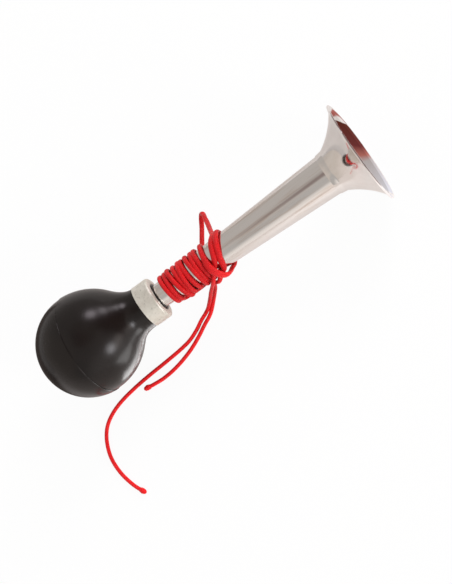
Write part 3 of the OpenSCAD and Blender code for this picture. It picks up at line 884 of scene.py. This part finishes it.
# Regions of it with painted shade. Each starts and is full at these places along X and Y.
NEAR_LEFT_SHADE = ((0.04, -0.01), (-0.035, -0.065), (0.76, 0.60, 0.52, 1))
FAR_LEFT_SHADE = ((-0.14, -0.26), (-0.03, 0.0), (0.33, 0.27, 0.25, 1))
PAST_BULB_SHADE = ((-0.100, -0.115), (-0.035, -0.012), (0.14, 0.115, 0.105, 1))
# PAST_BULB_SHADE shows only in mirrors that are near enough to be the bulb
BULB_SEES = (0.19, 0.15)
# A red band beside the mouth, a painted reflection that mirrors see: its start along X, and its place
# across Y
BAND_X, BAND_Y = (0.115, 0.117), (0.0, 0.045)
BAND = [(0.62, (0, 0, 0)), (0.67, (1, 1, 1)), (0.80, (1, 1, 1)), (0.86, (0, 0, 0))]
BAND_REFLECTION_TINT = (0.42, 0.13, 0.11, 1)


def stage_plane(name, corners):
    mesh = bpy.data.meshes.new(name)
    mesh.from_pydata(corners, [], [(0, 1, 2, 3)])
    plane = bpy.data.objects.new(name, mesh)
    bpy.context.scene.collection.objects.link(plane)
    mat, nodes, links, shader = material(name)
    nodes.remove(shader)
    mesh.materials.append(mat)
    return plane, nodes, links


def make_floor():
    corners = [(-1, -1), (1, -1), (1, 1), (-1, 1)]
    floor, nodes, links = stage_plane("floor", [(FLOOR_HALF * x, FLOOR_HALF * y, 0) for x, y in corners])
    floor.location.z = FLOOR_Z
    path = nodes.new("ShaderNodeLightPath").outputs
    x, y, _ = split(nodes, links, nodes.new("ShaderNodeTexCoord").outputs["Object"])

    def fade(source, none, full):
        return spread(nodes, links, source, 0, 1, none, full)

    # Painted light and shade on the floor that mirrors see: the shade across Y and the darker regions
    colour = ramp(nodes, links, fade(y, *SHADE_Y), SHADE)
    for x_range, y_range, tint in (NEAR_LEFT_SHADE, FAR_LEFT_SHADE):
        share = calc(nodes, links, "MULTIPLY", fade(x, *x_range), fade(y, *y_range))
        colour = mixed(nodes, links, share, colour, tint)
    x_range, y_range, tint = PAST_BULB_SHADE
    past_bulb_shade = calc(nodes, links, "MULTIPLY", fade(x, *x_range), fade(y, *y_range))
    past_bulb_shade = calc(nodes, links, "MULTIPLY", past_bulb_shade, fade(path["Ray Length"], *BULB_SEES))
    colour = mixed(nodes, links, past_bulb_shade, colour, tint)
    # Painted reflection: a red band beside the mouth
    band = ramp(nodes, links, fade(y, *BAND_Y), BAND)
    band = calc(nodes, links, "MULTIPLY", fade(x, *BAND_X), band)
    colour = mixed(nodes, links, band, colour, BAND_REFLECTION_TINT)
    # Mirrors see half of that colour and half of the lit floor, or the colour alone in the painted dark
    # regions
    dark = calc(nodes, links, "ADD", band, past_bulb_shade, clamp=True)
    mirrored = spread(nodes, links, dark, 0.5, 1.0)
    seen = calc(nodes, links, "ADD", path["Is Camera Ray"], path["Is Transmission Ray"], clamp=True)
    white = calc(nodes, links, "MULTIPLY", seen, FLOOR_WHITE)
    share = calc(nodes, links, "MULTIPLY_ADD", path["Is Glossy Ray"], mirrored, white, clamp=True)
    colour = mixed(nodes, links, seen, colour, (1, 1, 1, 1))
    lit = add(nodes, "ShaderNodeBsdfDiffuse", Color=(0.9, 0.9, 0.9, 1))
    glow = add(nodes, "ShaderNodeEmission")
    links.new(colour, glow.inputs["Color"])
    mix = nodes.new("ShaderNodeMixShader")
    links.new(share, mix.inputs["Fac"])
    links.new(lit.outputs["BSDF"], mix.inputs[1])
    links.new(glow.outputs["Emission"], mix.inputs[2])
    links.new(mix.outputs["Shader"], nodes["Material Output"].inputs["Surface"])


# Cards in front of the mouth, as the photographed bell mirrors something dark red. Each has its place
# along X, its top, and its colours across Y in mm. The near one is pale where the bell's lower side
# mirrors it.
# The cards glow and only mirrors see them: painted reflections, dark red, and pale on part of the near one
FAR_CARD = (0.165, 0.13, [(-120, (0.10, 0.038, 0.033)), (115, (0.10, 0.038, 0.033))])
NEAR_CARD = (0.118, 0.024, [
    (-34, (0.8, 0.8, 0.88)), (-15, (0.8, 0.8, 0.88)), (6, (0.55, 0.5, 0.5)), (9, (0.5, 0.17, 0.14)),
    (14, (0.18, 0.04, 0.04)), (26, (0.12, 0.03, 0.02)),
])


def make_card(name, x, top, stops):
    low, high = stops[0][0] * MM, stops[-1][0] * MM
    corners = [(x, low, 0), (x, high, 0), (x, high, top), (x, low, top)]
    card, nodes, links = stage_plane(name, corners)
    card.visible_camera = card.visible_diffuse = card.visible_shadow = False
    card.visible_transmission = card.visible_volume_scatter = False
    y = split(nodes, links, nodes.new("ShaderNodeTexCoord").outputs["Object"])["Y"]
    across = spread(nodes, links, y, 0, 1, low, high)
    # The card glows in its colours across Y, as a painted reflection
    glow = add(nodes, "ShaderNodeEmission")
    shares = [((place * MM - low) / (high - low), tint) for place, tint in stops]
    links.new(ramp(nodes, links, across, shares), glow.inputs["Color"])
    links.new(glow.outputs["Emission"], nodes["Material Output"].inputs["Surface"])


def toward(azimuth, elevation):
    a, e = math.radians(azimuth), math.radians(elevation)
    return Vector((math.cos(a) * math.cos(e), math.sin(a) * math.cos(e), math.sin(e)))


# The surroundings as mirrors see them: a plain tone, and soft round patches of shade and light over it.
# Each has its azimuth and elevation, the angles from there where it is full and where it ends, and a tint.
SURROUNDINGS = (0.53, 0.49, 0.465, 1)
PATCHES = [
    (-174, 14, 20, 70, (0.66, 0.585, 0.53)),
    (-174, -8, 8, 30, (0.80, 0.71, 0.66)),
    (19, 75, 22, 30, (0.38, 0.335, 0.31)),
    (-63, 83, 14, 20, (0.27, 0.21, 0.195)),
    (-93, 22, 40, 43, (0.53, 0.50, 0.48)),
    (-84, 3, 8, 42, (1.02, 0.945, 0.90)),
    (12, 22, 20, 36, (0.10, 0.05, 0.042)),
    # Two groups of lamps, as polished and wet-looking surfaces mirror them
    (43, 37, 3, 12, (8.6, 7.8, 8.3)),
    (31, 19, 3, 10, (7.0, 6.5, 6.8)),
    (-53, 17, 3, 12, (11.0, 10.8, 11.2)),
    (-36, 4, 5, 18, (3.0, 2.7, 2.55)),
]
# What lights matt surfaces, and the backdrop that the camera sees
EVEN_LIGHT, BACKDROP = (0.72, 0.71, 0.70, 1), (1, 1, 1, 1)


def make_world():
    world = bpy.data.worlds.new("studio")
    bpy.context.scene.world = world
    world.use_nodes = True
    nodes, links = world.node_tree.nodes, world.node_tree.links
    place = nodes.new("ShaderNodeTexCoord").outputs["Generated"]
    colour = SURROUNDINGS
    for azimuth, elevation, inner, outer, tint in PATCHES:
        dot = add(nodes, "ShaderNodeVectorMath", operation="DOT_PRODUCT")
        links.new(place, dot.inputs[0])
        dot.inputs[1].default_value = toward(azimuth, elevation)
        share = add(nodes, "ShaderNodeMapRange", interpolation_type="SMOOTHSTEP")
        links.new(dot.outputs["Value"], share.inputs["Value"])
        share.inputs["From Min"].default_value = math.cos(math.radians(outer))
        share.inputs["From Max"].default_value = math.cos(math.radians(inner))
        colour = mixed(nodes, links, share.outputs["Result"], colour, (*tint, 1))
    path = nodes.new("ShaderNodeLightPath").outputs
    colour = mixed(nodes, links, path["Is Diffuse Ray"], colour, EVEN_LIGHT)
    colour = mixed(nodes, links, path["Is Camera Ray"], colour, BACKDROP)
    links.new(colour, nodes["Background"].inputs["Color"])


# The lamps aim at a point near the middle of the horn
LAMP_AIM, LAMP_AWAY, LAMP_WATTS = (-0.02, 0, 0.03), 1.6, 6.0


def make_lamp(name, azimuth, elevation, size, tint):
    data = bpy.data.lights.new(name, "AREA")
    data.shape, data.size, data.energy, data.color = "DISK", size, LAMP_WATTS, tint
    lamp = bpy.data.objects.new(name, data)
    away = toward(azimuth, elevation)
    lamp.visible_glossy = False
    lamp.location = Vector(LAMP_AIM) + away * LAMP_AWAY
    lamp.rotation_mode = "QUATERNION"
    lamp.rotation_quaternion = (-away).to_track_quat("-Z", "Y")
    bpy.context.scene.collection.objects.link(lamp)


# Strips of light on the floor that only the rubber mirrors: the pale edge of the bulb, and a broad streak
# beside it. Each has its middle, its direction, its length and width, and its power.
RIM_STRIP = ((-0.054, -0.033), (0.8, 0.6), 0.052, 0.020, 0.016)
STREAK_STRIP = ((0.0085, -0.161), (0.235, -0.972), 0.20, 0.060, 0.15)
STRIP_Z = 0.001
rubber_only = bpy.data.collections.new("rubber_pieces")
rubber_only.objects.link(bulb_front)
rubber_only.objects.link(bulb_rear)


def make_strip(name, middle, along, length, width, watts):
    data = bpy.data.lights.new(name, "AREA")
    data.shape, data.size, data.size_y, data.energy = "RECTANGLE", length, width, watts
    lamp = bpy.data.objects.new(name, data)
    go = Vector((*along, 0)).normalized()
    axes = Matrix((go, Vector((go.y, -go.x, 0)), Vector((0, 0, -1)))).transposed().to_4x4()
    lamp.matrix_world = Matrix.Translation((*middle, STRIP_Z)) @ axes
    bpy.context.scene.collection.objects.link(lamp)
    lamp.visible_camera = lamp.visible_diffuse = False
    lamp.light_linking.receiver_collection = rubber_only


make_floor()
make_card("card_far", *FAR_CARD)
make_card("card_near", *NEAR_CARD)
make_strip("lamp_rim", *RIM_STRIP)
make_strip("lamp_streak", *STREAK_STRIP)
make_world()
make_lamp("lamp_back", 36, 30, 0.62, (1.0, 0.98, 0.97))
make_lamp("lamp_front", -52, 17, 0.5, (1.0, 0.97, 0.94))

bpy.context.scene.view_settings.view_transform = "Standard"
